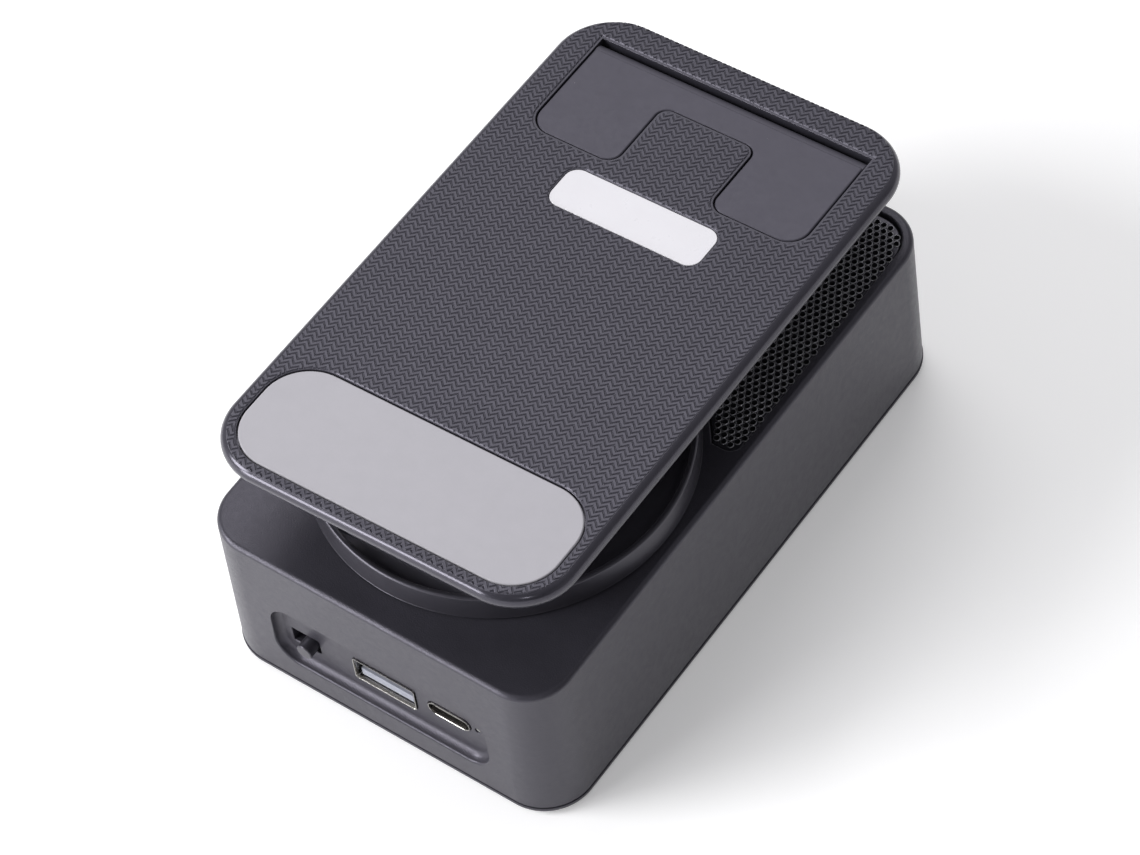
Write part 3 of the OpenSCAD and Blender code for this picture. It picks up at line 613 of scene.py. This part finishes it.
def make_grille():
    """Panel of closely set holes, each with a raised lip that carries a painted highlight."""
    low_z, high_z = GRILLE_LOW.z, GRILLE_HIGH.z
    face_z = high_z - LIP_H
    outline = inset(grille_outline(), GRILLE_GAP)
    panel = loft("speaker_grille_panel", outline, [(0, low_z)] + rise(0.4, face_z, 5, 0, 0.5))
    spots = hole_spots(inset(outline, GRILLE_EDGE))
    lips = repeat("lips", ring(LIP_R, steps=16), spots,
                  [(0, face_z - 0.3), (0, face_z + 0.03), (0.03, face_z + 0.1), (0.08, high_z)])
    combine(panel, lips, "UNION")
    combine(panel, repeat("holes", ring(HOLE_R, steps=16), spots, [(0, low_z - 1), (0, high_z + 1)]))
    piece(panel, "base", "speaker_grille", "speaker_grille", 60)
    # The lip crests get the painted highlight finish
    return second_finish(panel, "grille_lip", ROW, lambda z: z > face_z + 0.01)


# ---- Ports ----


def outline_of(low, high, r, steps):
    """Rounded rectangle over the width and height of an extent."""
    return rounded(high.x - low.x, high.y - low.y, r, (low.x + high.x) / 2, (low.y + high.y) / 2, steps)


def make_usb_a():
    """Folded shell whose mouth flares a little."""
    low, high = extent("usb_a_shell", PORTS)
    sheet, mouth, back = 0.3, high.z, low.z
    shell = loft("large_socket_shell", outline_of(low, high, 0.55, 6), [
        (0, back), (0, mouth - 0.4), (-0.08, mouth - 0.08), (-0.06, mouth), (0.08, mouth),
        (0.16, mouth - 0.1), (0.24, mouth - 0.5), (sheet, mouth - 0.9), (sheet, back)], PORTS, tube=True)
    return piece(shell, "base", "usb_a_shell", "socket_steel")


def make_usb_c():
    """Drawn oval shell with a rounded mouth."""
    low, high = extent("usb_c_shell", PORTS)
    sheet, mouth, back = 0.25, high.z, low.z
    shell = loft("small_socket_shell", outline_of(low, high, (high.y - low.y) / 2 - 0.02, 14), [
        (0, back), (0, mouth - 0.12), (0.05, mouth - 0.02), (0.13, mouth), (0.2, mouth - 0.06),
        (sheet, mouth - 0.3), (sheet, back)], PORTS, tube=True)
    return piece(shell, "base", "usb_c_shell", "socket_steel")


def make_switch():
    """Round nub on the slider that moves behind the slot."""
    low, high = extent("switch_knob", PORTS)
    centre = middle("switch_knob")
    stem = loft("switch_nub", ring(1.6, centre.x, centre.y, 48),
                [(0, low.z + 1.2)] + rise(0.28, high.z, 8), PORTS)
    combine(stem, loft("slider", outline_of(low, high, 0.3, 4), [
        (0.1, low.z), (0, low.z + 0.1), (0, low.z + 1.5), (0.1, low.z + 1.6)], PORTS), "UNION")
    return piece(stem, "switch", "switch_knob", "switch_plastic")


# ---- Turntable ----


def make_turntable():
    """Shallow dish with a rounded rim on a hub, and the threads of the two plates screwed to it."""
    base_z, rim = table_low.z, table_high.z
    floor = rim - 2.8
    foot = BOX_H + 0.4
    hub = 9
    outer, inner = TABLE_R - 0.4, TABLE_R - 1.55
    profile = [(0, base_z), (hub - 0.2, base_z), (hub, base_z + 0.2), (hub, foot),
               (TABLE_R - 0.04, foot), (TABLE_R, foot + 0.04), (TABLE_R, foot + 0.12),
               (TABLE_R - 0.05, foot + 0.18)]
    profile += [(outer - d, z) for d, z in rise(0.5, rim, 8)]
    profile += [(inner - d, z) for d, z in reversed(rise(-0.45, rim, 8, 0, 0.5))][1:]
    profile += [(inner - 0.12, floor + 0.9), (inner - 0.35, floor + 0.3), (inner - 0.9, floor + 0.05),
                (inner - 1.6, floor), (0, floor)]
    disc = revolve("turntable_dish", profile, TABLE)
    plate_screws = ring(6, steps=3)
    combine(disc, repeat("plate_bores", ring(0.95), plate_screws,
                         [(0, base_z - 1), (0, base_z + 3.6)], TABLE))
    bracket_screws = [(sx * 7, y) for sx in (-1, 1) for y in (-26, -20)]
    combine(disc, repeat("bracket_bores", ring(0.85), bracket_screws,
                         [(0, foot + 0.2), (0, foot + 4.2)], TABLE))
    return piece(disc, "turntable", "turntable_disc", "turntable")


# ---- Cradle ----

front_low, front_high = extent("cradle_front", CRADLE)
back_low = extent("cradle_back", CRADLE)[0]
pad_low, pad_high = extent("grip_pad", CRADLE)
label_low, label_high = extent("label_plate", CRADLE)
rest_low, rest_high = extent("phone_rest", CRADLE)
PLATE_W = front_high.x - front_low.x
PLATE_L = front_high.y - front_low.y
PLATE_R = 11.6
SPLIT_Z = front_low.z
# The rim is a quarter ellipse above its widest point and another below it
RIM_IN, RIM_DEEP = 1.5, 1.7
UNDER_IN, UNDER_DEEP = 3.4, 2.78
RIDGE_SIDE, RIDGE_END = 1.35, 0.7  # plain border of the ridges at the sides and the ends
REST_GAP = 0.15
REST_X = rest_high.x
REST_NEAR = rest_low.y
pin_low, pin_high = extent("phone_rest_pin", CRADLE)
REST_PIVOT = (pin_low.y + pin_high.y) / 2
REST_FAR = REST_PIVOT + 2.4
NOTCH_X, NOTCH_Y = 9.8, 45.3


def rest_outline(far):
    """U-shaped phone rest: two legs and a bridge, square at the far end."""
    outer, inner, notch = 4.2, 2.8, 2.4
    return without_repeats(
        [(REST_X, far), (-REST_X, far)]
        + arc(outer - REST_X, REST_NEAR + outer, outer, 180, 270)
        + arc(-NOTCH_X - inner, REST_NEAR + inner, inner, 270, 360)
        + arc(-NOTCH_X + notch, NOTCH_Y - notch, notch, 180, 90)
        + arc(NOTCH_X - notch, NOTCH_Y - notch, notch, 90, 0)
        + arc(NOTCH_X + inner, REST_NEAR + inner, inner, 180, 270)
        + arc(REST_X - outer, REST_NEAR + outer, outer, 270, 360))


PAD_OUTLINE = outline_of(pad_low, pad_high, 8.8, 28)
LABEL_OUTLINE = outline_of(label_low, label_high, 2.6, 28)


def ridge_sheet():
    """Zigzag ridges over the whole face, as a closed slab."""
    half_wave = 2.035 / 2  # from one bend of a ridge to the next, across the cradle
    pitch = 1.15  # from one ridge to the next, along the cradle
    swing = 0.52
    crest, foot, under = 0.22, 0.02, -0.6
    section = [(0.0, foot), (0.08, foot), (0.22, crest - 0.05), (0.32, crest), (0.85, crest),
               (0.95, crest - 0.05), (1.09, foot)]
    columns = int(PLATE_W / 2 / half_wave) + 2
    rows = int(PLATE_L / 2 / pitch) + 2
    xs = [k * half_wave for k in range(-columns, columns + 1)]
    lines = [(row * pitch + y, z) for row in range(-rows, rows) for y, z in section]
    width = len(xs)
    verts = [(x, y + (swing if k % 2 else -swing), z) for y, z in lines for k, x in enumerate(xs)]
    top = len(verts)
    faces = [(j * width + i, j * width + i + 1, (j + 1) * width + i + 1, (j + 1) * width + i)
             for j in range(len(lines) - 1) for i in range(width - 1)]
    last = (len(lines) - 1) * width
    rim = (list(range(width)) + [j * width + width - 1 for j in range(1, len(lines))]
           + [last + i for i in reversed(range(width - 1))]
           + [j * width for j in reversed(range(1, len(lines) - 1))])
    verts += [(verts[i][0], verts[i][1], under) for i in rim]
    n = len(rim)
    faces += [(rim[(i + 1) % n], rim[i], top + i, top + (i + 1) % n) for i in range(n)]
    faces.append(tuple(top + i for i in reversed(range(n))))
    return build("ridge_sheet", verts, faces, CRADLE)


def depth_inside(x, y):
    """Distance of a point inside the cradle's outline."""
    dx = abs(x) - PLATE_W / 2 + PLATE_R
    dy = abs(y) - PLATE_L / 2 + PLATE_R
    return PLATE_R - math.hypot(max(dx, 0), max(dy, 0)) - min(max(dx, dy), 0)


def follow_rim(obj):
    """Lets the ridges run down over the rounded rim."""
    inverse = CRADLE.inverted()
    for v in obj.data.vertices:
        p = inverse @ v.co / MM
        share = 1 - depth_inside(p.x, p.y) / RIM_IN
        if share > 0:
            p.z -= RIM_DEEP * (1 - math.sqrt(1 - share * share))
            v.co = CRADLE @ (p * MM)


def undercut():
    """Lower half of the rim, from the bottom of the cradle up to the widest point."""
    return drop(UNDER_IN, back_low.z, 16, 0, UNDER_DEEP)


def inset_at(z):
    """How far the undercut lies inside the outline at a level."""
    share = (back_low.z + UNDER_DEEP - z) / UNDER_DEEP
    return UNDER_IN * (1 - math.sqrt(1 - share * share))


def make_cradle_front():
    """Front shell with ridges outside the rest, the pad and the plate, and seats for them."""
    plate_outline = rounded(PLATE_W, PLATE_L, PLATE_R, steps=36)
    face = loft("cradle_face", plate_outline,
                [(inset_at(SPLIT_Z) + 0.04, SPLIT_Z), (inset_at(SPLIT_Z + 0.05), SPLIT_Z + 0.05),
                 (inset_at(-2.0), -2.0)] + rise(RIM_IN, 0, 12, 0, RIM_DEEP), CRADLE)
    ridge_outline = rounded(PLATE_W - 2 * RIDGE_SIDE, PLATE_L - 2 * RIDGE_END, PLATE_R - 1, steps=36)
    region = loft("ridge_region", ridge_outline, [(0, -0.7), (0, -0.05), (0.15, 0.25), (0.15, 1)], CRADLE)
    rest = rest_outline(REST_FAR)
    for outline, border in [(rest, REST_GAP + 0.42), (PAD_OUTLINE, 0.3), (LABEL_OUTLINE, 0.28)]:
        combine(region, loft("keep_out", outline, [(-border, -1), (-border, 0), (-border - 0.18, 0.25),
                                                   (-border - 0.18, 2)], CRADLE))
    ridges = combine(ridge_sheet(), region, "INTERSECT")
    follow_rim(ridges)
    combine(face, ridges, "UNION")
    for name, outline, bottom, gap, edge, steps in [
            ("rest_slot", rest, SPLIT_Z - 1, REST_GAP, 0.12, 4),
            ("pad_seat", PAD_OUTLINE, pad_low.z, 0.15, 0.1, 3),
            ("label_seat", LABEL_OUTLINE, label_low.z, 0.1, 0.1, 3)]:
        combine(face, loft(name, outline, [(-gap, bottom)] + flare(edge, 0.001, steps, -gap)
                           + [(-gap - edge, 0.8)], CRADLE))
    piece(face, "cradle", "cradle_front", "cradle", 30)
    # The smooth rim below the face is glossier than the ribbed face
    return second_finish(face, "rim", CRADLE, lambda z: z < -0.004)


def make_cradle_back():
    """Back shell, open where the barrel of the phone rest turns."""
    low = back_low.z
    back = loft("cradle_back_shell", rounded(PLATE_W, PLATE_L, PLATE_R, steps=36),
                [p for p in undercut() if p[1] < SPLIT_Z - 0.1]
                + [(inset_at(SPLIT_Z - 0.05), SPLIT_Z - 0.05), (inset_at(SPLIT_Z) + 0.04, SPLIT_Z)], CRADLE)
    combine(back, loft("barrel_slot", rounded(2 * REST_X + 0.3, 4.8, 0.2, 0, REST_PIVOT, 2),
                       [(-0.1, low - 1), (-0.1, low), (0, low + 0.1), (0, SPLIT_Z + 1)], CRADLE))
    spots = [(sx * 30.5, y) for sx in (-1, 1) for y in (-29, 22)]
    combine(back, repeat("screw_seats", ring(1.8), spots,
                         [(-0.15, low - 1), (-0.15, low), (0, low + 0.15), (0, low + 1)], CRADLE))
    piece(back, "cradle", "cradle_back", "cradle", 30)
    back.data.materials[0] = FINISH["rim"].material
    return back


def make_grip_pad():
    pad = loft("grip_pad_sheet", PAD_OUTLINE,
               [(0.12, pad_low.z), (0.12, -0.4)] + rise(0.3, 0.02, 6, 0.12), CRADLE)
    return piece(pad, "cradle", "grip_pad", "grip_pad")


def make_label():
    label = loft("label_blank", LABEL_OUTLINE, [(0, label_low.z)] + rise(0.1, label_high.z, 3), CRADLE)
    return piece(label, "cradle", "label_plate", "label_plate")


def make_phone_rest():
    """Flap that lies just below the face, with the barrel it turns on."""
    top, under = -0.06, -2.0
    rest = loft("phone_rest_flap", rest_outline(REST_PIVOT),
                [(0.2, under), (0.1, under + 0.1)] + rise(0.34, top, 6, 0.1), CRADLE)
    to_pivot = Matrix.Translation(Vector((0, REST_PIVOT, SPLIT_Z)) * MM)
    along = CRADLE @ to_pivot @ Matrix.Rotation(math.pi / 2, 4, "Y")
    combine(rest, loft("barrel", ring(2.1, 0, 0, 64),
                       drop(0.15, -REST_X, 3) + rise(0.15, REST_X, 3), along), "UNION")
    combine(rest, loft("pin_bore", ring(0.82, 0, 0, 32), [(0, -40), (0, 40)], along))
    return piece(rest, "phone_rest", "phone_rest", "phone_rest")


make_housing()
make_bottom_cover()
make_base_mat()
make_grille()
make_usb_a()
make_usb_c()
make_switch()
make_turntable()
make_cradle_front()
make_cradle_back()
make_grip_pad()
make_label()
make_phone_rest()

# ---- CAD nodes that stay ----


def finish_nodes():
    """Every CAD node that still shows gets the finish of its material slot."""
    for obj in NODES.values():
        for slot in obj.material_slots:
            key = slot.material.name.split(".")[0]
            if key in FINISH:
                slot.material = FINISH[key].material


finish_nodes()

# ---- Floor, light and camera ----


def make_floor():
    """Wide sheet of white paper."""
    half = 4000
    corners = [(-half, -half, 0), (half, -half, 0), (half, half, 0), (-half, half, 0)]
    floor = build("floor", corners, [(0, 1, 2, 3)])
    paper = Finish("studio_paper", (0.95, 0.95, 0.955), 0.9).sheen_spots(8, 0.85, 0.95)
    # The paper glows a little, as a light table does, which keeps the contact shadows soft
    paper.shader.inputs["Emission Color"].default_value = (1, 1, 1, 1)
    paper.shader.inputs["Emission Strength"].default_value = 0.22
    floor.data.materials.append(paper.material)


def soft_light(name, place, aim, size, power):
    """Round area light, with its diameter in metres and its power in watts."""
    lamp = bpy.data.lights.new(name, "AREA")
    lamp.shape = "DISK"
    lamp.size = size
    lamp.energy = power
    obj = link(name, lamp)
    obj.location = place
    obj.rotation_euler = (Vector(aim) - Vector(place)).to_track_quat("-Z", "Y").to_euler()


def make_light():
    """Soft daylight from the left, with small lights for the edges and corners."""
    world = bpy.data.worlds.new("studio")
    world.use_nodes = True
    tree = world.node_tree
    tree.nodes["Background"].inputs["Color"].default_value = (0.98, 0.97, 1.0, 1)
    # The room is brighter on the left and at the back, where its windows are
    direction = tree.nodes.new("ShaderNodeTexCoord").outputs["Generated"]
    slope = tree.nodes.new("ShaderNodeVectorMath")
    slope.operation = "DOT_PRODUCT"
    tree.links.new(direction, slope.inputs[0])
    slope.inputs[1].default_value = (-0.22, 0.24, 0)
    level = tree.nodes.new("ShaderNodeMath")
    level.operation = "ADD"
    tree.links.new(slope.outputs["Value"], level.inputs[0])
    level.inputs[1].default_value = 0.36
    tree.links.new(level.outputs[0], tree.nodes["Background"].inputs["Strength"])
    bpy.context.scene.world = world
    soft_light("key", (-0.95, -0.85, 0.75), (0, 0, 0.03), 0.7, 18.5)
    soft_light("top", (-0.55, 0.55, 1.25), (0, 0, 0.03), 0.9, 5.8)
    soft_light("rim_light", (-0.55, -1.15, 0.30), (0, 0, 0.05), 0.5, 9)
    soft_light("corner_light", (0.70, -0.66, 0.75), (0, 0, 0.05), 0.12, 0.9)
    soft_light("side_fill", (1.1, 0.1, 0.3), (0, 0, 0.03), 0.8, 0.3)
    bpy.context.scene.view_settings.view_transform = "Standard"


def make_camera():
    """The photograph's own view, from a fitted perspective camera."""
    azimuth, elevation, roll = (math.radians(a) for a in (42.45, 54.05, 8.88))
    target, distance = Vector((7.93, -10.67, 38.52)) * MM, 0.8
    look = Vector((-math.sin(azimuth) * math.cos(elevation), math.cos(azimuth) * math.cos(elevation),
                   -math.sin(elevation)))
    level = Vector((math.cos(azimuth), math.sin(azimuth), 0))
    over = level.cross(look)
    right = level * math.cos(roll) - over * math.sin(roll)
    up = right.cross(look)
    data = bpy.data.cameras.new("camera")
    data.lens = 147.338
    data.sensor_width = 36
    data.clip_start = 0.01
    camera = link("camera", data)
    turn = Matrix((right, up, -look)).transposed().to_4x4()
    camera.matrix_world = Matrix.Translation(target - look * distance) @ turn
    bpy.context.scene.camera = camera


make_floor()
make_light()
make_camera()
